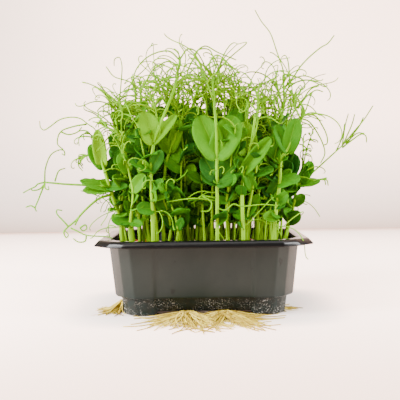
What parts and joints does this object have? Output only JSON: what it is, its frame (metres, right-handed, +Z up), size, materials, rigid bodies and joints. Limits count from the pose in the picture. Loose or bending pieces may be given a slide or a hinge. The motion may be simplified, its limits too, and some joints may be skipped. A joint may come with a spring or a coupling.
{
  "type": "pea shoot microgreens tray",
  "caption": "Low rectangular plastic tray on corner feet, filled with growing medium and seeds, with a dense stand of living pea shoots, their tendrils, and roots out of the drain holes",
  "frame": {"origin": "on the surface the feet stand on, below the middle of the tray", "axes": "+X along the tray's long side, towards the right as seen from the front; -Y is the front; +Z up"},
  "size_m": [0.2476, 0.1746, 0.2058],
  "materials": {
    "tray_plastic": "thermoformed black polypropylene, semi-gloss, dusty and smudged",
    "growing_medium": "moist dark peat and coir with pale mineral grains",
    "root": "fine matt cream-yellow roots",
    "seed_coat": "wrinkled orange-brown seed coat, matt",
    "pea_foliage": "living leaf and stem, softly translucent with a waxy sheen"
  },
  "bodies": {
    "root": {"tray": "tray_plastic", "growing_medium": "growing_medium", "root_tuft_front_left": "root", "root_tuft_front_right": "root", "root_tuft_left": "root", "root_tuft_right": "root", "root_tuft_back_left": "root", "root_tuft_back_right": "root", "pea_seed_01": "seed_coat", "pea_seed_02": "seed_coat", "pea_seed_03": "seed_coat", "pea_seed_04": "seed_coat", "pea_seed_05": "seed_coat", "pea_seed_06": "seed_coat", "pea_seed_07": "seed_coat", "pea_seed_08": "seed_coat", "pea_shoot_01": "pea_foliage", "pea_shoot_02": "pea_foliage", "pea_shoot_03": "pea_foliage", "pea_shoot_04": "pea_foliage", "pea_shoot_05": "pea_foliage", "pea_shoot_06": "pea_foliage", "pea_shoot_07": "pea_foliage", "pea_shoot_08": "pea_foliage", "pea_shoot_09": "pea_foliage", "pea_shoot_10": "pea_foliage", "pea_shoot_11": "pea_foliage", "pea_shoot_12": "pea_foliage", "pea_shoot_13": "pea_foliage", "pea_shoot_14": "pea_foliage", "pea_shoot_15": "pea_foliage", "pea_shoot_16": "pea_foliage", "pea_shoot_17": "pea_foliage", "pea_shoot_18": "pea_foliage", "pea_shoot_19": "pea_foliage", "pea_shoot_20": "pea_foliage", "pea_shoot_21": "pea_foliage", "pea_shoot_22": "pea_foliage", "pea_shoot_23": "pea_foliage", "pea_shoot_24": "pea_foliage", "pea_shoot_25": "pea_foliage", "pea_shoot_26": "pea_foliage", "pea_shoot_27": "pea_foliage", "pea_shoot_28": "pea_foliage", "pea_shoot_29": "pea_foliage", "pea_shoot_30": "pea_foliage", "pea_shoot_31": "pea_foliage", "pea_shoot_32": "pea_foliage", "pea_shoot_33": "pea_foliage", "pea_shoot_34": "pea_foliage", "pea_shoot_35": "pea_foliage"}
  },
  "joints": []
}
